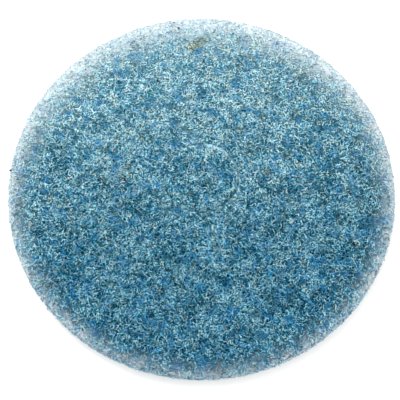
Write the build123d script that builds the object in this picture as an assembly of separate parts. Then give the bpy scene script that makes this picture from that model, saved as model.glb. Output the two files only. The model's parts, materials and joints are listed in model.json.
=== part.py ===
from build123d import *
import os

# A round floor-machine pad: a disc of lofty, resin-bonded fibre web that is
# sprayed with resin and grain from both faces, so that each face is a dense
# coated layer and the middle stays an open, paler core. A plug is cut almost
# free in the centre, and is pushed out when a machine's centre lock needs the
# hole. The origin is the middle of the underside, and +Z is the turning axis.

# Driving dimensions, in millimetres. Each can be changed by itself.
pad_diameter = 431.8           # across the outer rim, 17 inches
pad_thickness = 25.4           # face to face, 1 inch
centre_hole_diameter = 82.55   # left when the plug is out, 3 1/4 inches
coated_layer_depth = 6.0       # how deep the spray reaches into each face
rim_round = 2.5                # softened corner where a face meets the rim
cut_round = 0.6                # softened corner along the centre cut
cut_clearance = 1.2            # gap left by the cutting rule, all round the plug
torn_clearance = 0.4           # gap between a torn tab and the wall of the hole
tab_count = 6                  # places where the cut was left uncut
tab_width = 3.0                # along the cut
tab_face_inset = 3.0           # how far a tab stays below each face

# Dependent dimensions.
pad_radius = pad_diameter / 2
hole_radius = centre_hole_diameter / 2
plug_radius = hole_radius - cut_clearance
tab_tip_radius = hole_radius - torn_clearance
core_depth = pad_thickness - 2 * coated_layer_depth
core_base = coated_layer_depth
top_layer_base = coated_layer_depth + core_depth
tab_height = pad_thickness - 2 * tab_face_inset
tab_spacing = 360 / tab_count

standing = (Align.CENTER, Align.CENTER, Align.MIN)


def disc(radius, base, depth):
    """A round slab whose lower face is at height base."""
    return Pos(0, 0, base) * Cylinder(radius, depth, align=standing)


def softened(layer, end, roundings):
    """Rounds the circular edges of a layer's upper (-1) or lower (0) face.

    roundings gives the fillet for each edge radius.
    """
    for edge_radius, amount in roundings.items():
        face_edges = layer.edges().group_by(Axis.Z)[end]
        circles = face_edges.filter_by(lambda e: abs(e.radius - edge_radius) < 0.01)
        layer = fillet(circles, amount)
    return layer


def pad_layer(base, depth):
    """One layer of the pad, with the wall of the centre hole."""
    return disc(pad_radius, base, depth) - disc(hole_radius, base, depth)


def pad_coated_layer(base, end):
    layer = pad_layer(base, coated_layer_depth)
    return softened(layer, end, {pad_radius: rim_round, hole_radius: cut_round})


def plug_coated_layer(base, end):
    layer = disc(plug_radius, base, coated_layer_depth)
    return softened(layer, end, {plug_radius: cut_round})


def tear_tab(turn):
    """A bridge of uncut fibre on the plug's wall, torn off at the hole's wall."""
    ring = disc(tab_tip_radius, tab_face_inset, tab_height)
    ring -= disc(plug_radius, tab_face_inset, tab_height)
    slot = Box(hole_radius, tab_width, pad_thickness, align=(Align.MIN, Align.CENTER, Align.MIN))
    return Rot(0, 0, turn) * (ring & slot)


top, bottom = -1, 0
parts = {
    "pad_top_layer": pad_coated_layer(top_layer_base, top),
    "pad_core": pad_layer(core_base, core_depth),
    "pad_bottom_layer": pad_coated_layer(0, bottom),
    "plug_top_layer": plug_coated_layer(top_layer_base, top),
    "plug_core": disc(plug_radius, core_base, core_depth),
    "plug_bottom_layer": plug_coated_layer(0, bottom),
}
for index in range(tab_count):
    parts[f"tear_tab_{index + 1}"] = tear_tab(index * tab_spacing)

os.makedirs("parts", exist_ok=True)
for node, solid in parts.items():
    export_step(solid, f"parts/{node}.step")
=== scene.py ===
import json
import math

import bpy
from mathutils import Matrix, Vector

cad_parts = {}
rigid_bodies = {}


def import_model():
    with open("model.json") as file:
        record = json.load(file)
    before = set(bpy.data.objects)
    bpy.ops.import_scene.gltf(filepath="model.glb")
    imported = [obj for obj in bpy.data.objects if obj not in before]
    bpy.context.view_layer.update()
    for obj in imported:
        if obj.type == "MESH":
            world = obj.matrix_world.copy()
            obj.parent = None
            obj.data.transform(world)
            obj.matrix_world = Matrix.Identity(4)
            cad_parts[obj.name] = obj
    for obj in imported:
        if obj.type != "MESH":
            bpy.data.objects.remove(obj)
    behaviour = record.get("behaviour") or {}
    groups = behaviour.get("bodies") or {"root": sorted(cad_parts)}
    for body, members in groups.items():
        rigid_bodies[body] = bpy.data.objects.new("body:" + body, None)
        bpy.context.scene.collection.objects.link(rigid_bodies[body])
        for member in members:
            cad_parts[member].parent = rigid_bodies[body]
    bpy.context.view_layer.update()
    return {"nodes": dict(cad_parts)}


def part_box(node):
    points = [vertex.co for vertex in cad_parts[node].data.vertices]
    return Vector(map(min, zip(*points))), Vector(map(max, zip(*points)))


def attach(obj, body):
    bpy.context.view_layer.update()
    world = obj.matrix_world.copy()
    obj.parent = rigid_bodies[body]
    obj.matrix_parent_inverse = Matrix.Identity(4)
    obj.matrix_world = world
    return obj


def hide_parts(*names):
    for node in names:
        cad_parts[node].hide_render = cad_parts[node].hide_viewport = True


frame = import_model()
print("frame loaded:", len(frame["nodes"]), "nodes")

# Sizes that everything else hangs on, read from the frame.
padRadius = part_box("pad_core")[1].x
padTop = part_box("pad_top_layer")[1].z
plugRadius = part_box("plug_core")[1].x
coreVertices = frame["nodes"]["pad_core"].data.vertices
holeRadius = min(vertex.co.xy.length for vertex in coreVertices)
padMiddle = padTop / 2
seam = (holeRadius + plugRadius) / 2   # the middle of the centre cut


# Small tools.

def deselectAll():
    bpy.ops.object.select_all(action="DESELECT")


def makeActive(piece):
    deselectAll()
    piece.select_set(True)
    bpy.context.view_layer.objects.active = piece


def editMode(on):
    bpy.ops.object.mode_set(mode="EDIT" if on else "OBJECT")


def selectFaces(piece, wanted):  # wanted(centre, normal) says which faces to pick
    editMode(True)
    bpy.ops.mesh.select_mode(type="FACE")
    bpy.ops.mesh.select_all(action="DESELECT")
    editMode(False)
    for face in piece.data.polygons:
        face.select = wanted(face.center, face.normal)
    editMode(True)


def selectEdges(piece, wanted):  # wanted(oneEnd, otherEnd)
    editMode(True)
    bpy.ops.mesh.select_mode(type="EDGE")
    bpy.ops.mesh.select_all(action="DESELECT")
    editMode(False)
    vertices = piece.data.vertices
    for edge in piece.data.edges:
        edge.select = wanted(*(vertices[index].co for index in edge.vertices))
    editMode(True)


def applyModifier(piece, modifier):
    makeActive(piece)
    bpy.ops.object.modifier_apply(modifier=modifier.name)


def settle(piece):  # place, turn and size go into the mesh
    makeActive(piece)
    bpy.ops.object.transform_apply(location=True, rotation=True, scale=True)


def copyOf(piece, name):
    makeActive(piece)
    bpy.ops.object.duplicate(linked=False)
    twin = bpy.context.active_object
    twin.name = name
    twin.data.name = name
    return twin


def dress(piece, material):
    piece.data.materials.clear()
    piece.data.materials.append(material)


def shadeSmooth(piece):
    makeActive(piece)
    bpy.ops.object.shade_smooth()


# Camera, floor and light.

shot = {
    "elevation": 69.5,      # degrees above the horizon
    "distance": 0.632,      # from the aim point
    "lens": 52.5,
    "aim": (-0.0016, -0.028, padTop),
}

studio = {
    "floorSize": 6.0,
    "floorColour": (0.93, 0.925, 0.915, 1),
    "worldStrength": 1.42,
    "worldColour": (1.0, 1.0, 1.0, 1),
    "softBoxes": (
        # name, place, size across, watts
        ("keySoftBox", (-0.22, 0.34, 0.85), 0.50, 7.0),
    ),
}


def addCamera():
    rise = math.radians(shot["elevation"])
    aim = Vector(shot["aim"])
    place = aim + shot["distance"] * Vector((0, -math.cos(rise), math.sin(rise)))
    bpy.ops.object.camera_add(location=place, rotation=(math.pi / 2 - rise, 0, 0))
    camera = bpy.context.active_object
    camera.data.lens = shot["lens"]
    camera.data.sensor_width = 36
    camera.data.clip_start = 0.01
    bpy.context.scene.camera = camera


def addSoftBox(name, place, size, watts):
    bpy.ops.object.light_add(type="AREA", location=place)
    lamp = bpy.context.active_object
    lamp.name = name
    lamp.data.shape = "DISK"
    lamp.data.size = size
    lamp.data.energy = watts
    lamp.visible_camera = False
    toPad = Vector((0, 0, padMiddle)) - Vector(place)
    lamp.rotation_euler = toPad.to_track_quat("-Z", "Y").to_euler()


def addStudio():
    deselectAll()
    bpy.ops.mesh.primitive_plane_add(size=studio["floorSize"], location=(0, 0, 0))
    floor = bpy.context.active_object
    floor.name = "floor"
    paper = bpy.data.materials.new("whitePaper")
    paper.use_nodes = True
    surface = paper.node_tree.nodes["Principled BSDF"]
    surface.inputs["Base Color"].default_value = studio["floorColour"]
    surface.inputs["Roughness"].default_value = 0.9
    floor.data.materials.append(paper)
    world = bpy.data.worlds.new("paleRoom")
    world.use_nodes = True
    background = world.node_tree.nodes["Background"]
    background.inputs["Color"].default_value = studio["worldColour"]
    background.inputs["Strength"].default_value = studio["worldStrength"]
    bpy.context.scene.world = world
    for name, place, size, watts in studio["softBoxes"]:
        addSoftBox(name, place, size, watts)
    bpy.context.scene.view_settings.view_transform = "Standard"


addCamera()
addStudio()
print("camera and studio set")


# Shader node groups.

def newGroup(name, sockets, kind="ShaderNodeTree"):
    group = bpy.data.node_groups.new(name, kind)
    for label, direction, socketType, value in sockets:
        socket = group.interface.new_socket(label, in_out=direction, socket_type=socketType)
        if value is not None:
            socket.default_value = value
    return group, group.nodes.new("NodeGroupInput"), group.nodes.new("NodeGroupOutput")


def addNode(tree, kind, inputs=None, **settings):
    node = tree.nodes.new(kind)
    for setting, value in settings.items():
        setattr(node, setting, value)
    for socket, value in (inputs or {}).items():
        if isinstance(value, bpy.types.NodeSocket):
            tree.links.new(value, node.inputs[socket])
        else:
            node.inputs[socket].default_value = value
    return node


def maths(tree, operation, first, second=0.0, third=0.0, clamp=False):
    node = addNode(tree, "ShaderNodeMath", {0: first, 1: second, 2: third}, operation=operation)
    node.use_clamp = clamp
    return node.outputs[0]


def mixed(tree, factor, first, second, blend="MIX"):
    node = tree.nodes.new("ShaderNodeMix")
    node.data_type = "RGBA"
    node.blend_type = blend
    for socket, value in ((0, factor), (6, first), (7, second)):
        if isinstance(value, bpy.types.NodeSocket):
            tree.links.new(value, node.inputs[socket])
        else:
            node.inputs[socket].default_value = value
    return node.outputs[2]


def mapped(tree, value, low, high, toLow=0.0, toHigh=1.0):
    node = addNode(tree, "ShaderNodeMapRange", {0: value, 1: low, 2: high, 3: toLow, 4: toHigh})
    return node.outputs[0]


edgeFade = {
    "wander": 0.012,      # how far the edge of the pale band wanders, in all
    "curve": 2.2,         # how fast it fades
    "low": 0.004,         # height up to which it is palest
    "topShare": 0.90,     # how pale it still is at the top, for the spray reached down a little
}


# How far a point is into the pale cut edge: 0 over the face, 1 at the rim. The edge is pale from undyed fibre
# ends, and is also painted light for the glow through the translucent edge.
def makeRimMask():
    group, start, end = newGroup("rimMask", [
        ("Rim radius", "INPUT", "NodeSocketFloat", 0.216),
        ("Width", "INPUT", "NodeSocketFloat", 0.016),
        ("Centre", "INPUT", "NodeSocketVector", (0, 0, 0)),
        ("Top", "INPUT", "NodeSocketFloat", 0.025),
        ("Mask", "OUTPUT", "NodeSocketFloat", None),
    ])
    place = group.nodes.new("ShaderNodeTexCoord").outputs["Object"]
    moved = addNode(group, "ShaderNodeVectorMath", {0: place, 1: start.outputs["Centre"]},
                    operation="SUBTRACT")
    flat = addNode(group, "ShaderNodeVectorMath", {0: moved.outputs[0], 1: (1, 1, 0)},
                   operation="MULTIPLY")
    radius = addNode(group, "ShaderNodeVectorMath", {0: flat.outputs[0]}, operation="LENGTH")
    ragged = addNode(group, "ShaderNodeTexNoise", {"Vector": place, "Scale": 90.0, "Detail": 3.0})
    wander = maths(group, "MULTIPLY_ADD", ragged.outputs["Fac"],
                   edgeFade["wander"], -edgeFade["wander"] / 2)
    distance = maths(group, "ADD", radius.outputs["Value"], wander)
    begin = maths(group, "SUBTRACT", start.outputs["Rim radius"], start.outputs["Width"])
    share = maths(group, "SUBTRACT", distance, begin)
    share = maths(group, "DIVIDE", share, start.outputs["Width"], clamp=True)
    curved = maths(group, "POWER", share, edgeFade["curve"])
    height = addNode(group, "ShaderNodeSeparateXYZ", {0: place}).outputs["Z"]
    sprayed = mapped(group, height, edgeFade["low"], start.outputs["Top"], 1.0, edgeFade["topShare"])
    group.links.new(maths(group, "MULTIPLY", curved, sprayed), end.inputs["Mask"])
    return group


# A band either side of the centre cut, where bare fibre ends show; it is strong only on one side, as a
# painted highlight where the cut edge catches the light.
def makeCutMask():
    group, start, end = newGroup("cutMask", [
        ("Cut radius", "INPUT", "NodeSocketFloat", 0.0407),
        ("Width", "INPUT", "NodeSocketFloat", 0.003),
        ("Bright side", "INPUT", "NodeSocketVector", (0.8, 0.6, 0)),
        ("Mask", "OUTPUT", "NodeSocketFloat", None),
    ])
    place = group.nodes.new("ShaderNodeTexCoord").outputs["Object"]
    flat = addNode(group, "ShaderNodeVectorMath", {0: place, 1: (1, 1, 0)}, operation="MULTIPLY")
    radius = addNode(group, "ShaderNodeVectorMath", {0: flat.outputs[0]}, operation="LENGTH")
    away = maths(group, "SUBTRACT", radius.outputs["Value"], start.outputs["Cut radius"])
    share = maths(group, "DIVIDE", maths(group, "ABSOLUTE", away), start.outputs["Width"], clamp=True)
    toward = addNode(group, "ShaderNodeVectorMath", {0: place, 1: start.outputs["Bright side"]},
                     operation="DOT_PRODUCT").outputs["Value"]
    # painted highlight: full only on the side towards the light, faint elsewhere
    side = mapped(group, toward, 0.015, 0.038, 0.12, 1.0)
    group.links.new(maths(group, "MULTIPLY", maths(group, "SUBTRACT", 1.0, share), side),
                    end.inputs["Mask"])
    return group


# Cloudy patches of dye at three sizes, about 45, 13 and 6 mm across.
def makeDyeClouds():
    group, start, end = newGroup("dyeClouds", [
        ("Offset", "INPUT", "NodeSocketVector", (0, 0, 0)),
        ("Cloud", "OUTPUT", "NodeSocketFloat", None),
        ("Blotch", "OUTPUT", "NodeSocketFloat", None),
        ("Clump", "OUTPUT", "NodeSocketFloat", None),
    ])
    place = group.nodes.new("ShaderNodeTexCoord").outputs["Object"]
    moved = addNode(group, "ShaderNodeVectorMath", {0: place, 1: start.outputs["Offset"]})
    cloud = addNode(group, "ShaderNodeTexNoise",
                    {"Vector": moved.outputs[0], "Scale": 22.0, "Detail": 4.0, "Roughness": 0.62})
    blotch = addNode(group, "ShaderNodeTexNoise",
                     {"Vector": moved.outputs[0], "Scale": 75.0, "Detail": 2.0, "Roughness": 0.5})
    clump = addNode(group, "ShaderNodeTexNoise",
                    {"Vector": moved.outputs[0], "Scale": 180.0, "Detail": 3.0, "Roughness": 0.6})
    group.links.new(mapped(group, cloud.outputs["Fac"], 0.34, 0.66), end.inputs["Cloud"])
    group.links.new(mapped(group, blotch.outputs["Fac"], 0.34, 0.66), end.inputs["Blotch"])
    group.links.new(mapped(group, clump.outputs["Fac"], 0.34, 0.66), end.inputs["Clump"])
    return group


# Thin winding lines, as fibres look where they lie too deep to be modelled.
def makeStrandLines():
    group, start, end = newGroup("strandLines", [
        ("Scale", "INPUT", "NodeSocketFloat", 260.0),
        ("Offset", "INPUT", "NodeSocketVector", (0, 0, 0)),
        ("Width", "INPUT", "NodeSocketFloat", 0.035),
        ("Strand", "OUTPUT", "NodeSocketFloat", None),
    ])
    place = group.nodes.new("ShaderNodeTexCoord").outputs["Object"]
    moved = addNode(group, "ShaderNodeVectorMath", {0: place, 1: start.outputs["Offset"]})
    field = addNode(group, "ShaderNodeTexNoise",
                    {"Vector": moved.outputs[0], "Scale": start.outputs["Scale"],
                     "Detail": 1.0, "Distortion": 0.6})
    fromLine = maths(group, "ABSOLUTE", maths(group, "SUBTRACT", field.outputs["Fac"], 0.5))
    share = maths(group, "DIVIDE", fromLine, start.outputs["Width"], clamp=True)
    group.links.new(maths(group, "SUBTRACT", 1.0, share), end.inputs["Strand"])
    return group


# Fine speckle along the fibres: resin beads, worn spots and bits of dirt. The dark specks are also painted
# shade, as in the pits between fibres.
def makeGrain():
    group, start, end = newGroup("grain", [
        ("Scale", "INPUT", "NodeSocketFloat", 560.0),
        ("Speck size", "INPUT", "NodeSocketFloat", 480.0),
        ("Grain", "OUTPUT", "NodeSocketFloat", None),
        ("Speck", "OUTPUT", "NodeSocketFloat", None),
    ])
    place = group.nodes.new("ShaderNodeTexCoord").outputs["Object"]
    fine = addNode(group, "ShaderNodeTexNoise", {"Vector": place, "Scale": start.outputs["Scale"],
                                                 "Detail": 2.0, "Roughness": 0.6})
    aside = addNode(group, "ShaderNodeVectorMath", {0: place, 1: (0.7, 0.2, 0.0)})
    specks = addNode(group, "ShaderNodeTexNoise", {"Vector": aside.outputs[0],
                                                   "Scale": start.outputs["Speck size"], "Detail": 1.0})
    group.links.new(mapped(group, fine.outputs["Fac"], 0.32, 0.68), end.inputs["Grain"])
    group.links.new(mapped(group, specks.outputs["Fac"], 0.54, 0.59), end.inputs["Speck"])
    return group


rimMask = makeRimMask()
cutMask = makeCutMask()
dyeClouds = makeDyeClouds()
strandLines = makeStrandLines()
grain = makeGrain()


def useGroup(tree, group, inputs=None):
    node = tree.nodes.new("ShaderNodeGroup")
    node.node_tree = group
    for socket, value in (inputs or {}).items():
        if isinstance(value, bpy.types.NodeSocket):
            tree.links.new(value, node.inputs[socket])
        else:
            node.inputs[socket].default_value = value
    return node


# Finishes.

dye = {
    # pit: near-black, partly painted shade for the gaps between fibres
    "pit": (0.0003, 0.007, 0.015, 1),
    "deep": (0.002, 0.062, 0.115, 1),
    "mid": (0.034, 0.265, 0.385, 1),
    "sky": (0.160, 0.530, 0.670, 1),
    "pale": (0.450, 0.760, 0.850, 1),
    "ice": (0.620, 0.810, 0.865, 1),
    "bare": (0.760, 0.810, 0.825, 1),
    "azure": (0.014, 0.240, 0.500, 1),
    "cream": (0.640, 0.700, 0.540, 1),
    "tan": (0.420, 0.490, 0.340, 1),
    "olive": (0.035, 0.065, 0.038, 1),
    "rust": (0.160, 0.020, 0.012, 1),
    "soot": (0.005, 0.006, 0.006, 1),
    "nearShade": (0.58, 0.77, 0.87, 1),   # painted shade: what the colour is multiplied by at the near side
}

paleEdge = {
    "Rim radius": padRadius - 0.004,   # from here outwards the band is at its palest
    "Width": 0.027,                    # how far it reaches in from there
    "Centre": (0.0, -0.006, 0),        # shifted towards the near side, so the band reaches further in at the far side: painted light
    "Top": padTop,
}

edgeSpread = {"farLight": 0.048, "web": 0.0015}   # how much further in: at the far side, as painted light, and on the web

cutEndsAndHighlight = {"Cut radius": seam, "Width": 0.0022, "Bright side": (0.8, 0.6, 0)}

# Painted light and shade across the pad: darker towards the near side, paler towards the far side.
dyeFall = {
    "across": (-0.08, 1.0, 0),           # the way the colour gets paler, as painted light and shade
    "shadeFrom": 0.08, "shadeTo": -0.19,   # painted shade, fullest at the near side
    "lightFrom": -0.06, "lightTo": 0.216,  # painted light, fullest at the far side
    "lightTone": 0.66,       # how much paler each fibre gets, as painted light
    "lightBare": 0.16,       # share of fibres turned bare-pale, as painted light
    "lightCalm": 0.58,       # how much less the fibres differ there
    "lightWeb": 0.40,        # how much paler the web under them gets
    "shadeTone": 0.56,       # how much darker each fibre gets, as painted shade
    "shadeGain": 1.10,       # how much more the fibres differ there
    "lightCurve": 1.4,       # how late the painted light sets in
}

matt = {"web": 0.05, "fibre": 0.12, "fleck": 0.08}   # specular level

webDye = {
    "strand": 0.8,        # share of each painted strand's own colour
    "speck": 0.8,
    "cut": 0.6,           # how pale the web is along the centre cut: bare fibre ends, and a painted highlight on one side
    "edgeLeast": 0.80,    # how pale the edge is between its grains
}

fibreDye = {
    "cloud": 0.36, "cloudShift": -0.13,
    "patch": 0.20,
    "streak": 1.7,                         # how much a fibre differs along its length
    "blueFrom": 1.0, "blueTo": 1.7, "blue": 0.95,
    "creamFrom": 0.62, "cream": 0.45,
    "oliveFrom": 0.2, "oliveTo": 0.8, "olive": 0.70,
    "speck": 0.95, "lateSpeck": 0.40,      # dark specks, dirt and painted shade of the pits between fibres: under the pale edge, and over it
    # cut: bare fibre ends along the centre cut, and a painted highlight on one side
    "cut": 0.45,
    "keep": 0.9,                           # how unequally the fibres go pale
    "bareFrom": -0.10, "bareTo": 0.45,
}


def startMaterial(name):
    material = bpy.data.materials.new(name)
    material.use_nodes = True
    tree = material.node_tree
    return material, tree, tree.nodes["Principled BSDF"]


# Painted light and shade across the pad: the painted shade is 1 at the near side, and the painted light is 1
# at the far side.
def makePaintedLightFall():
    group, start, end = newGroup("dyeFall", [
        ("Across", "INPUT", "NodeSocketVector", dyeFall["across"]),
        ("Deep", "OUTPUT", "NodeSocketFloat", None),
        ("Wash", "OUTPUT", "NodeSocketFloat", None),
    ])
    place = group.nodes.new("ShaderNodeTexCoord").outputs["Object"]
    along = addNode(group, "ShaderNodeVectorMath", {0: place, 1: start.outputs["Across"]},
                    operation="DOT_PRODUCT").outputs["Value"]
    deep = mapped(group, along, dyeFall["shadeFrom"], dyeFall["shadeTo"])
    farLight = mapped(group, along, dyeFall["lightFrom"], dyeFall["lightTo"])
    curved = maths(group, "POWER", farLight, dyeFall["lightCurve"])
    group.links.new(deep, end.inputs["Deep"])
    group.links.new(curved, end.inputs["Wash"])
    return group


paintedLightFallGroup = makePaintedLightFall()


def makeWebFinish(name, shift):  # the mass of the web, under the loose fibres
    material, tree, surface = startMaterial(name)
    clouds = useGroup(tree, dyeClouds, {"Offset": shift})
    cut = useGroup(tree, cutMask, cutEndsAndHighlight)
    fall = useGroup(tree, paintedLightFallGroup)
    # the pale edge reaches further in towards the far side: painted light
    reach = maths(tree, "MULTIPLY_ADD", fall.outputs["Wash"], edgeSpread["farLight"],
                  paleEdge["Width"] + edgeSpread["web"])
    rim = useGroup(tree, rimMask, {**paleEdge, "Width": reach})
    speckle = useGroup(tree, grain, {"Scale": 420.0})
    # the web near-black between clumps: its own deep colour, darkened as painted shade for the gaps between
    # fibres
    colour = mixed(tree, clouds.outputs["Clump"], dye["pit"], dye["deep"])
    farVeil = maths(tree, "MULTIPLY", fall.outputs["Wash"], dyeFall["lightWeb"])
    colour = mixed(tree, farVeil, colour, dye["sky"])   # painted light: the web paler towards the far side, under the strands, so that they still show
    height = None
    for scale, width, tint in ((330.0, 0.040, "deep"), (400.0, 0.030, "mid"),
                               (460.0, 0.020, "sky"), (370.0, 0.010, "olive")):
        lines = useGroup(tree, strandLines,
                         {"Scale": scale, "Width": width, "Offset": (scale, shift[0], 0)})
        strand = lines.outputs["Strand"]
        colour = mixed(tree, maths(tree, "MULTIPLY", strand, webDye["strand"]), colour, dye[tint])
        height = strand if height is None else maths(tree, "MAXIMUM", height, strand)
    # dark specks: bits of dirt, and painted shade of the pits between fibres
    specksAndPitShade = maths(tree, "MULTIPLY", speckle.outputs["Speck"], webDye["speck"])
    colour = mixed(tree, specksAndPitShade, colour, dye["pit"])
    endsAndHighlight = maths(tree, "MULTIPLY", cut.outputs["Mask"], webDye["cut"])
    colour = mixed(tree, endsAndHighlight, colour, dye["pale"])
    bareAndLitShare = maths(tree, "MULTIPLY", rim.outputs["Mask"],
                      mapped(tree, speckle.outputs["Grain"], 0, 1, webDye["edgeLeast"], 1.0))
    # painted shade: darker towards the near side
    colour = mixed(tree, fall.outputs["Deep"], colour, dye["nearShade"], "MULTIPLY")
    colour = mixed(tree, bareAndLitShare, colour, dye["bare"])
    bump = addNode(tree, "ShaderNodeBump",
                   {"Height": height, "Strength": 0.6, "Distance": 0.0006})
    tree.links.new(colour, surface.inputs["Base Color"])
    tree.links.new(mapped(tree, height, 0, 1, 0.95, 0.7), surface.inputs["Roughness"])
    tree.links.new(bump.outputs["Normal"], surface.inputs["Normal"])
    surface.inputs["Specular IOR Level"].default_value = matt["web"]
    return material


# The last argument scales both the azure spots and the painted light and shade.
def makeFibreFinish(name, dark, main, light, rimShare=0.82, lightAndAzureShare=1.0):
    material, tree, surface = startMaterial(name)
    clouds = useGroup(tree, dyeClouds, {"Offset": (0, 0, 0)})
    stains = useGroup(tree, dyeClouds, {"Offset": (3.1, 1.7, 0)})
    grime = useGroup(tree, dyeClouds, {"Offset": (-2.3, 4.4, 0)})
    cut = useGroup(tree, cutMask, cutEndsAndHighlight)
    fall = useGroup(tree, paintedLightFallGroup)
    # the pale edge reaches further in towards the far side: painted light
    reach = maths(tree, "MULTIPLY_ADD", fall.outputs["Wash"], edgeSpread["farLight"], paleEdge["Width"])
    rim = useGroup(tree, rimMask, {**paleEdge, "Width": reach})
    speckle = useGroup(tree, grain)
    ownTone = addNode(tree, "ShaderNodeAttribute", attribute_name="fibreTone").outputs["Fac"]
    cloudy = maths(tree, "MULTIPLY_ADD", clouds.outputs["Cloud"],
                   fibreDye["cloud"], fibreDye["cloudShift"])
    patch = maths(tree, "MULTIPLY_ADD", clouds.outputs["Blotch"], fibreDye["patch"], cloudy)
    streak = maths(tree, "MULTIPLY_ADD", speckle.outputs["Grain"],
                   fibreDye["streak"], -fibreDye["streak"] / 2)
    # painted light and shade: fibres paler and less varied towards the far side, darker and more varied
    # towards the near side
    lightShift = maths(tree, "MULTIPLY_ADD", fall.outputs["Wash"], dyeFall["lightTone"],
                 maths(tree, "MULTIPLY", fall.outputs["Deep"], -dyeFall["shadeTone"]))
    varied = maths(tree, "ADD", maths(tree, "ADD", ownTone, patch), streak)
    calm = maths(tree, "MULTIPLY_ADD", fall.outputs["Wash"], -dyeFall["lightCalm"], 1.0)
    gain = maths(tree, "MULTIPLY_ADD", fall.outputs["Deep"], dyeFall["shadeGain"], calm)
    spread = maths(tree, "MULTIPLY", maths(tree, "SUBTRACT", varied, 0.5), gain)
    middle = maths(tree, "MULTIPLY_ADD", lightShift, lightAndAzureShare, 0.5)
    tone = maths(tree, "ADD", spread, middle, clamp=True)
    lower = mixed(tree, mapped(tree, tone, 0.0, 0.5), dye[dark], dye[main])
    colour = mixed(tree, mapped(tree, tone, 0.5, 1.0), lower, dye[light])
    blueSpots = maths(tree, "ADD", stains.outputs["Clump"], stains.outputs["Blotch"])
    blueShare = mapped(tree, blueSpots, fibreDye["blueFrom"], fibreDye["blueTo"],
                       0.0, fibreDye["blue"] * lightAndAzureShare)
    colour = mixed(tree, blueShare, colour, dye["azure"])
    creamShare = mapped(tree, grime.outputs["Clump"], fibreDye["creamFrom"], 1.0, 0.0, fibreDye["cream"])
    colour = mixed(tree, creamShare, colour, dye["cream"])
    oliveSpots = maths(tree, "ADD", grime.outputs["Clump"], grime.outputs["Blotch"])
    oliveShare = mapped(tree, oliveSpots, fibreDye["oliveFrom"], fibreDye["oliveTo"], fibreDye["olive"], 0.0)
    colour = mixed(tree, oliveShare, colour, dye["olive"])
    # dark specks: bits of dirt, and painted shade of the pits between fibres
    specksAndPitShade = maths(tree, "MULTIPLY", speckle.outputs["Speck"], fibreDye["speck"])
    colour = mixed(tree, specksAndPitShade, colour, dye["pit"])
    # painted shade: darker towards the near side
    colour = mixed(tree, fall.outputs["Deep"], colour, dye["nearShade"], "MULTIPLY")
    endsAndHighlight = maths(tree, "MULTIPLY", cut.outputs["Mask"], fibreDye["cut"])
    colour = mixed(tree, endsAndHighlight, colour, dye["pale"])
    chance = maths(tree, "FRACT", maths(tree, "MULTIPLY", ownTone, 17.3))   # some fibres keep their colour
    # pale at the rim from undyed fibre ends and painted glow, and pale towards the far side as painted light
    bareAndLitMask = maths(tree, "MAXIMUM", rim.outputs["Mask"],
                   maths(tree, "MULTIPLY", fall.outputs["Wash"], dyeFall["lightBare"] * lightAndAzureShare))
    lead = maths(tree, "SUBTRACT", bareAndLitMask, maths(tree, "MULTIPLY", chance, fibreDye["keep"]))
    bareAndLitShare = mapped(tree, lead, fibreDye["bareFrom"], fibreDye["bareTo"], 0.0, rimShare)
    colour = mixed(tree, bareAndLitShare, colour, dye["bare"])
    # specks over the pale edge: dirt, and painted shade of the pits between fibres
    lateSpecksAndPitShade = maths(tree, "MULTIPLY", speckle.outputs["Speck"], fibreDye["lateSpeck"])
    colour = mixed(tree, lateSpecksAndPitShade, colour, dye["mid"])
    tree.links.new(colour, surface.inputs["Base Color"])
    tree.links.new(mapped(tree, clouds.outputs["Clump"], 0, 1, 0.5, 0.75), surface.inputs["Roughness"])
    surface.inputs["Specular IOR Level"].default_value = matt["fibre"]
    return material


padWebFinish = makeWebFinish("padWebFinish", (0.0, 0.0, 0.0))
plugWebFinish = makeWebFinish("plugWebFinish", (0.4, 0.1, 0.0))
deepFibreFinish = makeFibreFinish("deepFibreFinish", "pit", "deep", "mid")
blueFibreFinish = makeFibreFinish("blueFibreFinish", "deep", "mid", "sky")
skyFibreFinish = makeFibreFinish("skyFibreFinish", "mid", "sky", "pale")
paleFibreFinish = makeFibreFinish("paleFibreFinish", "sky", "pale", "ice")
tanFibreFinish = makeFibreFinish("tanFibreFinish", "olive", "tan", "cream", 0.6)
edgeFibreFinish = makeFibreFinish("edgeFibreFinish", "deep", "mid", "sky", 0.55)
soilFibreFinish = makeFibreFinish("soilFibreFinish", "soot", "tan", "cream", 0.2, 0.0)
tornFibreFinish = makeFibreFinish("tornFibreFinish", "sky", "pale", "bare")


def makeFleckFinish(name, dark, light):
    material, tree, surface = startMaterial(name)
    speckle = useGroup(tree, grain, {"Scale": 900.0})
    tree.links.new(mixed(tree, speckle.outputs["Grain"], dye[dark], dye[light]), surface.inputs["Base Color"])
    tree.links.new(mapped(tree, speckle.outputs["Grain"], 0, 1, 0.9, 0.6), surface.inputs["Roughness"])
    surface.inputs["Specular IOR Level"].default_value = matt["fleck"]
    return material


gritFinish = makeFleckFinish("gritFinish", "soot", "olive")
rustFinish = makeFleckFinish("rustFinish", "soot", "rust")
sootFinish = makeFleckFinish("sootFinish", "soot", "pit")
print("finishes made")


# The webs: pad and plug.

web = {
    "sides": 160,
    "faceInset": 0.0022,    # the loose fibres stand in the gap left below the CAD faces
    "rimInset": 0.0030,
    "cutInset": 0.0004,     # at the centre cut, on each side of it
    "edgeSoftness": 0.0040,
    "cutSoftness": 0.0006,
    "voxel": 0.0045,
    "pressure": 4.0,
    "swellCap": 0.0008,
    "simFrames": 20,
    "loftSize": 0.011,      # hills and hollows in the web
    "loftHeight": 0.0011,
    "tuftSize": 0.0035,
    "tuftHeight": 0.0008,
    "plugLean": 0.0007,     # how far the plug's edge stands up at one side, and down at the other
}


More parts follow.
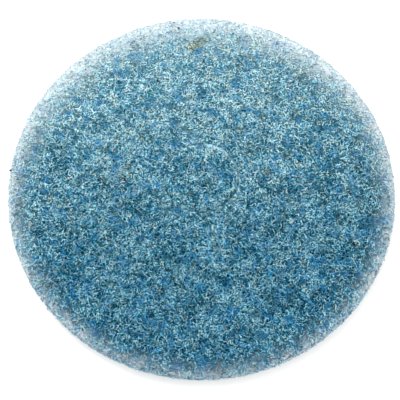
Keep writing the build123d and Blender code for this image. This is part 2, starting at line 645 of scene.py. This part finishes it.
def swell(piece):  # cloth under pressure rounds the edges and plumps the faces
    before = [vertex.co.copy() for vertex in piece.data.vertices]
    makeActive(piece)
    bpy.ops.object.modifier_add(type="CLOTH")
    cloth = piece.modifiers[-1]
    cloth.settings.quality = 4
    cloth.settings.use_pressure = True
    cloth.settings.uniform_pressure_force = web["pressure"]
    cloth.settings.effector_weights.gravity = 0
    cloth.point_cache.frame_end = web["simFrames"]
    for step in range(1, web["simFrames"] + 1):
        bpy.context.scene.frame_set(step)
    applyModifier(piece, cloth)
    bpy.context.scene.frame_set(1)
    for vertex, start in zip(piece.data.vertices, before):
        move = vertex.co - start
        if move.length > web["swellCap"]:
            vertex.co = start + move.normalized() * web["swellCap"]


def roughen(piece):  # the uneven loft of a fibre web
    makeActive(piece)
    bpy.ops.object.modifier_add(type="SUBSURF")
    rounding = piece.modifiers[-1]
    rounding.levels = 1
    rounding.render_levels = 1
    applyModifier(piece, rounding)
    for label, size, height in (("loft", web["loftSize"], web["loftHeight"]),
                                ("tuft", web["tuftSize"], web["tuftHeight"])):
        lumps = bpy.data.textures.new(label, type="CLOUDS")
        lumps.noise_scale = size
        lumps.noise_depth = 2
        makeActive(piece)
        bpy.ops.object.modifier_add(type="DISPLACE")
        relief = piece.modifiers[-1]
        relief.texture = lumps
        relief.texture_coords = "LOCAL"
        relief.strength = height
        relief.mid_level = 0.5
        applyModifier(piece, relief)


def finishWeb(piece):
    settle(piece)
    makeActive(piece)
    piece.data.remesh_voxel_size = web["voxel"]
    bpy.ops.object.voxel_remesh()
    swell(piece)
    roughen(piece)
    shadeSmooth(piece)


def addDisc(name, radius, sides):
    deselectAll()
    height = padTop - 2 * web["faceInset"]
    bpy.ops.mesh.primitive_cylinder_add(vertices=sides, radius=radius, depth=height,
                                        location=(0, 0, padMiddle))
    disc = bpy.context.active_object
    disc.name = name
    disc.data.name = name
    settle(disc)
    return disc


def bevelCircle(piece, radius, width):  # rounds the level edges of one circle
    def onCircle(one, other):
        level = abs(one.z - other.z) < 1e-5
        return level and all(abs(end.xy.length - radius) < 2e-4 for end in (one, other))
    selectEdges(piece, onCircle)
    bpy.ops.mesh.bevel(offset=width, segments=3)
    editMode(False)


def makePadWeb():
    outer = padRadius - web["rimInset"]
    inner = holeRadius + web["cutInset"]
    piece = addDisc("padWeb", outer, web["sides"])
    selectFaces(piece, lambda centre, normal: abs(normal.z) > 0.9)
    flatToFlat = math.cos(math.pi / web["sides"])
    bpy.ops.mesh.inset(thickness=(outer - inner) * flatToFlat, use_individual=True)
    editMode(False)
    selectFaces(piece, lambda centre, normal: abs(normal.z) > 0.9 and centre.xy.length < 1e-4)
    bpy.ops.mesh.delete(type="FACE")
    editMode(False)
    def onHole(one, other):
        return all(abs(end.xy.length - inner) < 2e-4 for end in (one, other))
    selectEdges(piece, onHole)
    bpy.ops.mesh.bridge_edge_loops()
    bpy.ops.mesh.select_all(action="SELECT")
    bpy.ops.mesh.normals_make_consistent(inside=False)
    editMode(False)
    bevelCircle(piece, outer, web["edgeSoftness"])
    bevelCircle(piece, inner, web["cutSoftness"])
    finishWeb(piece)
    dress(piece, padWebFinish)
    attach(piece, "pad")
    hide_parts("pad_top_layer", "pad_core", "pad_bottom_layer")
    return piece


def makePlugWeb():
    outer = plugRadius - web["cutInset"]
    piece = addDisc("plugWeb", outer, web["sides"] // 2)
    bevelCircle(piece, outer, web["cutSoftness"])
    finishWeb(piece)
    for vertex in piece.data.vertices:
        vertex.co.z += web["plugLean"] * (vertex.co.x + vertex.co.y) / plugRadius
    dress(piece, plugWebFinish)
    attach(piece, "plug")
    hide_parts("plug_top_layer", "plug_core", "plug_bottom_layer")
    return piece


padWeb = makePadWeb()
print("pad web:", len(padWeb.data.polygons), "faces")
plugWeb = makePlugWeb()
print("plug web:", len(plugWeb.data.polygons), "faces")


# Loose fibres.

# Each row is one crimped fibre: length, sideways wave, how many waves, how high it arches.
fibre = {
    "thickness": 0.00082,
    "joints": 3,
    "shapes": (
        (0.0068, 0.0012, 0.50, 0.0012),
        (0.0074, 0.0010, 1.00, 0.0010),
        (0.0056, 0.0014, 0.50, 0.0013),
        (0.0080, 0.0013, 0.75, 0.0009),
        (0.0060, 0.0009, 1.00, 0.0013),
        (0.0072, 0.0017, 0.60, 0.0010),
        (0.0048, 0.0008, 0.40, 0.0010),
        (0.0076, 0.0010, 0.90, 0.0011),
    ),
    "tip": 0.55,            # thickness of the ends beside the middle
}


def makeFibreShape(index, length, wave, waves, arch):
    deselectAll()
    bpy.ops.mesh.primitive_cylinder_add(vertices=3, radius=fibre["thickness"] / 2, depth=length,
                                        end_fill_type="NGON", rotation=(0, math.pi / 2, 0))
    piece = bpy.context.active_object
    piece.name = f"fibreShape{index}"
    settle(piece)
    for joint in range(1, fibre["joints"]):
        at = length * (joint / fibre["joints"] - 0.5)
        editMode(True)
        bpy.ops.mesh.select_all(action="SELECT")
        bpy.ops.mesh.bisect(plane_co=(at, 0, 0), plane_no=(1, 0, 0))
        editMode(False)
    for vertex in piece.data.vertices:
        along = vertex.co.x / length + 0.5
        slim = 1 - (1 - fibre["tip"]) * abs(2 * along - 1) ** 3
        vertex.co.y = vertex.co.y * slim + wave * math.sin(2 * math.pi * waves * along)
        vertex.co.z = vertex.co.z * slim + arch * math.sin(math.pi * along)
    editMode(True)
    bpy.ops.mesh.select_all(action="SELECT")
    bpy.ops.uv.smart_project(island_margin=0.02)
    editMode(False)
    piece.data.uv_layers[0].name = "OFBake"
    shadeSmooth(piece)
    return piece


grit = {
    "size": 0.0011,
    "squash": ((1.0, 0.7, 0.5), (0.8, 1.0, 0.6), (0.6, 0.9, 0.4)),   # one row for each grain
}


def makeGrainPiece(name, size, squash, seed, place=(0, 0, 0)):
    deselectAll()
    bpy.ops.mesh.primitive_ico_sphere_add(subdivisions=1, radius=size / 2, scale=squash, location=place)
    piece = bpy.context.active_object
    piece.name = name
    piece.data.name = name
    settle(piece)
    editMode(True)
    bpy.ops.mesh.select_all(action="SELECT")
    bpy.ops.transform.vertex_random(offset=size / 8, seed=seed)
    bpy.ops.uv.smart_project(island_margin=0.02)
    editMode(False)
    piece.data.uv_layers[0].name = "OFBake"
    return piece


def shapeCollection(name, pieces):
    shapes = bpy.data.collections.new(name)
    bpy.context.scene.collection.children.link(shapes)
    for piece in pieces:
        for owner in list(piece.users_collection):
            owner.objects.unlink(piece)
        shapes.objects.link(piece)
    return shapes


fibreShapes = shapeCollection("fibreShapes", [makeFibreShape(index, *shape)
                                              for index, shape in enumerate(fibre["shapes"])])
gritShapes = shapeCollection("gritShapes", [
    makeGrainPiece(f"gritShape{index}", grit["size"], squash, index)
    for index, squash in enumerate(grit["squash"])])
print("fibre and grit shapes made")


# Scatters fibres over the faces it is given, and hands back only the fibres.
def makeFibreScatter():
    group, start, end = newGroup("fibreScatter", [
        ("Geometry", "INPUT", "NodeSocketGeometry", None),
        ("Shapes", "INPUT", "NodeSocketCollection", None),
        ("Density", "INPUT", "NodeSocketFloat", 1000.0),
        ("Patchiness", "INPUT", "NodeSocketFloat", 0.5),
        ("Patch size", "INPUT", "NodeSocketFloat", 40.0),
        ("Seed", "INPUT", "NodeSocketInt", 0),
        ("Tilt", "INPUT", "NodeSocketFloat", 0.30),
        ("Smallest", "INPUT", "NodeSocketFloat", 0.6),
        ("Largest", "INPUT", "NodeSocketFloat", 1.05),
        ("Lift", "INPUT", "NodeSocketFloat", 0.0),
        ("Inner stop", "INPUT", "NodeSocketFloat", 0.0),
        ("Outer stop", "INPUT", "NodeSocketFloat", 1.0),
        ("Lower stop", "INPUT", "NodeSocketFloat", 0.0),
        ("Upper stop", "INPUT", "NodeSocketFloat", 1.0),
        ("Ragged", "INPUT", "NodeSocketFloat", 0.003),
        ("Cells", "INPUT", "NodeSocketInt", 80),
        ("Geometry", "OUTPUT", "NodeSocketGeometry", None),
    ], "GeometryNodeTree")
    group.is_modifier = True
    put = lambda kind, inputs=None, **settings: addNode(group, kind, inputs, **settings)
    given = start.outputs

    patches = put("ShaderNodeTexNoise", {"Scale": given["Patch size"], "Detail": 2.0})
    spread = mapped(group, patches.outputs["Fac"], 0.35, 0.65)
    thin = maths(group, "SUBTRACT", 1.0, given["Patchiness"])
    share = maths(group, "MULTIPLY_ADD", spread, maths(group, "MULTIPLY", given["Patchiness"], 2.0), thin)
    density = maths(group, "MULTIPLY", share, given["Density"])
    points = put("GeometryNodeDistributePointsOnFaces",
                 {"Mesh": given["Geometry"], "Density": density, "Seed": given["Seed"]})

    shapes = put("GeometryNodeCollectionInfo", {"Collection": given["Shapes"],
                 "Separate Children": True, "Reset Children": True})
    chosen = put("FunctionNodeRandomValue", {"Seed": given["Seed"]}, data_type="INT")
    chosen.inputs[4].default_value = 0
    chosen.inputs[5].default_value = len(fibre["shapes"]) - 1
    backTilt = maths(group, "MULTIPLY", given["Tilt"], -1.0)
    lowTurn = put("ShaderNodeCombineXYZ", {"X": backTilt, "Y": backTilt, "Z": 0.0})
    highTurn = put("ShaderNodeCombineXYZ", {"X": given["Tilt"], "Y": given["Tilt"], "Z": 2 * math.pi})
    turn = put("FunctionNodeRandomValue", data_type="FLOAT_VECTOR")
    group.links.new(lowTurn.outputs[0], turn.inputs[0])
    group.links.new(highTurn.outputs[0], turn.inputs[1])
    turned = put("FunctionNodeRotateRotation", {"Rotation": points.outputs["Rotation"],
                 "Rotate By": turn.outputs[0]}, rotation_space="LOCAL")
    size = put("FunctionNodeRandomValue", data_type="FLOAT")
    group.links.new(given["Smallest"], size.inputs[2])
    group.links.new(given["Largest"], size.inputs[3])
    fibres = put("GeometryNodeInstanceOnPoints", {
        "Points": points.outputs["Points"], "Instance": shapes.outputs[0], "Pick Instance": True,
        "Instance Index": chosen.outputs[2], "Rotation": turned.outputs[0], "Scale": size.outputs[1]})
    lifted = put("ShaderNodeCombineXYZ", {"Z": given["Lift"]})
    raised = put("GeometryNodeTranslateInstances", {"Instances": fibres.outputs[0],
                 "Translation": lifted.outputs[0], "Local Space": True})

    tone = put("FunctionNodeRandomValue", {"Seed": 7}, data_type="FLOAT")
    toned = put("GeometryNodeStoreNamedAttribute", {"Geometry": raised.outputs[0],
                "Name": "fibreTone", "Value": tone.outputs[1]}, data_type="FLOAT", domain="INSTANCE")
    count = put("GeometryNodeInputIndex")
    numbered = put("GeometryNodeStoreNamedAttribute", {"Geometry": toned.outputs[0],
                   "Name": "fibreNumber", "Value": count.outputs[0]}, data_type="FLOAT", domain="INSTANCE")
    real = put("GeometryNodeRealizeInstances", {"Geometry": numbered.outputs[0]})

    # every fibre gets its own cell of the texture map
    number = put("GeometryNodeInputNamedAttribute", {"Name": "fibreNumber"}, data_type="FLOAT")
    own = put("GeometryNodeInputNamedAttribute", {"Name": "OFBake"}, data_type="FLOAT_VECTOR")
    column = maths(group, "FLOORED_MODULO", number.outputs[0], given["Cells"])
    row = maths(group, "FLOOR", maths(group, "DIVIDE", number.outputs[0], given["Cells"]))
    cell = put("ShaderNodeCombineXYZ", {"X": column, "Y": row, "Z": 0.0})
    inside = put("ShaderNodeVectorMath", {0: own.outputs[0], 1: (0.9, 0.9, 0.0), 2: cell.outputs[0]},
                 operation="MULTIPLY_ADD")
    shrink = put("ShaderNodeMath", {0: 1.0, 1: given["Cells"]}, operation="DIVIDE")
    laid = put("ShaderNodeVectorMath", {0: inside.outputs[0]}, operation="SCALE")
    group.links.new(shrink.outputs[0], laid.inputs["Scale"])
    mapStored = put("GeometryNodeStoreNamedAttribute", {"Geometry": real.outputs[0], "Name": "OFBake"},
                    data_type="FLOAT2", domain="CORNER")
    group.links.new(laid.outputs[0], mapStored.inputs["Value"])

    # fibres that reach past a cut are folded back along it
    place = put("GeometryNodeInputPosition")
    parts = put("ShaderNodeSeparateXYZ", {0: place.outputs[0]})
    level = put("ShaderNodeCombineXYZ", {"X": parts.outputs[0], "Y": parts.outputs[1], "Z": 0.0})
    radius = put("ShaderNodeVectorMath", {0: level.outputs[0]}, operation="LENGTH").outputs["Value"]
    ragged = put("ShaderNodeTexNoise", {"Vector": place.outputs[0], "Scale": 240.0, "Detail": 1.0})
    wander = maths(group, "MULTIPLY_ADD", ragged.outputs["Fac"], given["Ragged"],
                   maths(group, "MULTIPLY", given["Ragged"], -0.5))
    kept = maths(group, "MAXIMUM", radius, maths(group, "ADD", given["Inner stop"], wander))
    kept = maths(group, "MINIMUM", kept, maths(group, "ADD", given["Outer stop"], wander))
    pull = maths(group, "DIVIDE", kept, radius)
    height = maths(group, "MINIMUM", maths(group, "MAXIMUM", parts.outputs[2], given["Lower stop"]),
                   given["Upper stop"])
    pulled = put("ShaderNodeCombineXYZ", {
        "X": maths(group, "MULTIPLY", parts.outputs[0], pull),
        "Y": maths(group, "MULTIPLY", parts.outputs[1], pull), "Z": height})
    folded = put("GeometryNodeSetPosition", {"Geometry": mapStored.outputs[0],
                 "Position": pulled.outputs[0]})
    group.links.new(folded.outputs[0], end.inputs["Geometry"])
    return group


fibreScatter = makeFibreScatter()


def scatterFibres(base, name, wanted, finish, body, slot, **settings):
    piece = copyOf(base, name)
    selectFaces(piece, lambda centre, normal: not wanted(centre, normal))
    bpy.ops.mesh.delete(type="FACE")
    editMode(False)
    area = sum(face.area for face in piece.data.polygons)
    makeActive(piece)
    bpy.ops.object.modifier_add(type="NODES")
    scatter = piece.modifiers[-1]
    scatter.node_group = fibreScatter
    ids = {item.name: item.identifier for item in fibreScatter.interface.items_tree
           if item.in_out == "INPUT"}
    settings.setdefault("Shapes", fibreShapes)
    settings["Density"] = settings.pop("count") / area
    settings["Cells"] = math.ceil(math.sqrt(settings["Density"] * area * 1.3))
    for label, value in settings.items():
        scatter[ids[label]] = value
    applyModifier(piece, scatter)
    dress(piece, finish)
    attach(piece, body)
    print(f"{name}: {len(piece.data.polygons)} faces")
    return piece


slope = {"face": 0.6, "wall": 0.75, "lip": 0.5}   # upward share of a surface's normal
lip = {"width": 0.0035, "toward": (0.85, 0.53), "reach": 0.62}   # the raised edge of the plug, whose pale fibres are a painted highlight


def upward(centre, normal):
    return normal.z > slope["face"]


def downward(centre, normal):
    return normal.z < -slope["face"]


def rimward(centre, normal):
    return abs(normal.z) <= slope["wall"] and centre.xy.length > (holeRadius + padRadius) / 2


def cutward(centre, normal):
    return abs(normal.z) <= slope["wall"] and centre.xy.length <= (holeRadius + padRadius) / 2


soil = {"x": -0.0055, "y": 0.1725, "length": 0.024, "width": 0.010}


def soiled(centre, normal):  # a trodden-in clump near the far edge
    x, y = centre.x - soil["x"], centre.y - soil["y"]
    along, across = x * 0.8 + y * 0.6, y * 0.8 - x * 0.6
    inside = abs(along) < soil["length"] / 2 and abs(across) < soil["width"] / 2
    return normal.z > slope["face"] and inside


def plugFace(centre, normal):
    return abs(normal.z) > slope["face"]


def plugLip(centre, normal):  # the edge that stands up, towards +X and +Y
    atEdge = centre.xy.length > plugRadius - lip["width"]
    toward = centre.x * lip["toward"][0] + centre.y * lip["toward"][1]
    return normal.z > slope["lip"] and atEdge and toward > plugRadius * lip["reach"]


def plugSide(centre, normal):
    return abs(normal.z) <= slope["wall"]


padFibres = {
    "stops": {"Inner stop": seam - 0.0006, "Outer stop": padRadius + 0.0030,
              "Lower stop": 0.0001, "Upper stop": padTop + 0.0020},
    "slot": "coated_fibre",
    "layers": (
        # name, faces, finish, count, other settings
        ("topDeepFibres", upward, deepFibreFinish, 9400, {"Seed": 11, "Lift": -0.0004}),
        ("topBlueFibres", upward, blueFibreFinish, 9500, {"Seed": 12, "Lift": 0.0000}),
        ("topSkyFibres", upward, skyFibreFinish, 9500, {"Seed": 13, "Lift": 0.0001}),
        ("topMistFibres", upward, paleFibreFinish, 6000, {"Seed": 16, "Lift": 0.0001}),
        ("topPaleFibres", upward, paleFibreFinish, 9500, {"Seed": 14, "Lift": 0.0002}),
        ("topTanFibres", upward, tanFibreFinish, 3400, {"Seed": 15, "Lift": 0.0002,
                                                        "Patchiness": 0.9, "Patch size": 70.0}),
        ("topSoilFibres", soiled, soilFibreFinish, 85, {"Seed": 17, "Lift": 0.0010}),
        ("topGrit", upward, gritFinish, 330, {"Seed": 18, "Lift": 0.0009, "Smallest": 0.4,
                                              "Largest": 1.3, "Shapes": gritShapes}),
        ("bottomGrit", downward, gritFinish, 200, {"Seed": 19, "Lift": 0.0009, "Smallest": 0.4,
                                                   "Largest": 1.3, "Shapes": gritShapes}),
        ("rimPaleFibres", rimward, paleFibreFinish, 7600, {"Seed": 31, "Tilt": 0.9}),
        ("rimBlueFibres", rimward, edgeFibreFinish, 3000, {"Seed": 32, "Tilt": 0.8, "Lift": 0.0002,
                                                           "Patch size": 60.0}),
        ("holeFibres", cutward, skyFibreFinish, 1500, {"Seed": 33, "Tilt": 0.3, "Lift": -0.0004}),
        ("bottomDeepFibres", downward, deepFibreFinish, 4200, {"Seed": 21}),
        ("bottomBlueFibres", downward, blueFibreFinish, 6800, {"Seed": 22}),
        ("bottomSkyFibres", downward, skyFibreFinish, 6800, {"Seed": 23}),
        ("bottomPaleFibres", downward, paleFibreFinish, 5800, {"Seed": 25}),
        ("bottomTanFibres", downward, tanFibreFinish, 1600, {"Seed": 24, "Patchiness": 0.9}),
    ),
}

plugFibres = {
    "stops": {"Outer stop": seam + 0.0006, "Lower stop": 0.0001, "Upper stop": padTop + 0.0024},
    "slot": "plug_coated_fibre",
    "layers": (
        ("plugDeepFibres", plugFace, deepFibreFinish, 560, {"Seed": 41, "Lift": -0.0003}),
        ("plugBlueFibres", plugFace, blueFibreFinish, 640, {"Seed": 42}),
        ("plugSkyFibres", plugFace, skyFibreFinish, 760, {"Seed": 43}),
        ("plugPaleFibres", plugFace, paleFibreFinish, 1000, {"Seed": 44}),
        ("plugTanFibres", plugFace, tanFibreFinish, 260, {"Seed": 45}),
        # pale fibres on one side of the raised edge: painted highlight
        ("plugLipFibres", plugLip, paleFibreFinish, 110, {"Seed": 47, "Tilt": 0.15, "Lift": 0.0006}),
        ("plugSideFibres", plugSide, skyFibreFinish, 1300, {"Seed": 46, "Tilt": 0.3, "Lift": -0.0004}),
    ),
}

for base, body, fibres in ((padWeb, "pad", padFibres), (plugWeb, "plug", plugFibres)):
    for name, wanted, finish, count, extra in fibres["layers"]:
        settings = {"count": count, **fibres["stops"], **extra}
        scatterFibres(base, name, wanted, finish, body, fibres["slot"], **settings)


# Torn tabs: a frayed tuft on the plug's wall at each place where the cut was left uncut.

tab = {
    "cuts": 6,
    "fray": 70,             # loose ends on each tab
    "loftHeight": 0.0004,
    "reach": 0.0012,        # how far loose ends go past the wall of the hole
}


def makeTearTab(node, number):
    low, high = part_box(node)
    corners = [vertex.co for vertex in frame["nodes"][node].data.vertices]
    middle = sum(corners, Vector()) / len(corners)
    turn = math.atan2(middle.y, middle.x)
    tipRadius = max(corner.xy.length for corner in corners)
    rootRadius = min(corner.xy.length for corner in corners)
    width = 2 * max(abs(corner.y * math.cos(turn) - corner.x * math.sin(turn)) for corner in corners)
    deselectAll()
    bpy.ops.mesh.primitive_cube_add(
        size=1, location=(middle.xy.length * math.cos(turn), middle.xy.length * math.sin(turn),
                          (low.z + high.z) / 2),
        rotation=(0, 0, turn), scale=(tipRadius - rootRadius, width, high.z - low.z))
    block = bpy.context.active_object
    block.name = f"tearTab{number}"
    block.data.name = block.name
    settle(block)
    editMode(True)
    bpy.ops.mesh.select_all(action="SELECT")
    bpy.ops.mesh.subdivide(number_cuts=tab["cuts"])
    bpy.ops.transform.vertex_random(offset=tab["loftHeight"], seed=number)
    editMode(False)
    dress(block, tornFibreFinish)
    tuft = scatterFibres(block, f"tearTabTuft{number}", lambda centre, normal: True, tornFibreFinish,
                         "plug", "torn_fibre", count=tab["fray"], Seed=50 + number, Tilt=1.2,
                         **{"Outer stop": holeRadius + tab["reach"], "Inner stop": plugRadius - 0.002,
                            "Lower stop": low.z - 0.002, "Upper stop": high.z + 0.002, "Largest": 0.7})
    for piece in (block, tuft):
        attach(piece, "plug")
    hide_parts(node)


tabNodes = sorted(name for name in frame["nodes"] if name.startswith("tear_tab"))
for number, node in enumerate(tabNodes, 1):
    makeTearTab(node, number)
print("torn tabs made:", len(tabNodes))


# Lint caught on the top face.

lint = {
    "lift": 0.0014,             # it lies on the tips of the loose fibres
    "squash": (1.0, 0.8, 0.6),
    "pieces": (
        # name, x, y, size, finish
        ("redLint", -0.0275, 0.1945, 0.0034, rustFinish),
        ("brownGrain", -0.0695, 0.1355, 0.0022, rustFinish),
        ("darkLint", -0.0835, -0.0055, 0.0032, sootFinish),
        ("darkGrain", -0.2105, 0.0060, 0.0032, sootFinish),
    ),
}


def addLint(name, x, y, size, finish, seed):
    piece = makeGrainPiece(name, size, lint["squash"], seed, (x, y, padTop + lint["lift"]))
    dress(piece, finish)
    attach(piece, "pad")


for seed, row in enumerate(lint["pieces"], 60):
    addLint(*row, seed)
print("lint added:", len(lint["pieces"]))

for shapes in (fibreShapes, gritShapes):
    for shapePiece in list(shapes.objects):
        bpy.data.objects.remove(shapePiece)
    bpy.data.collections.remove(shapes)
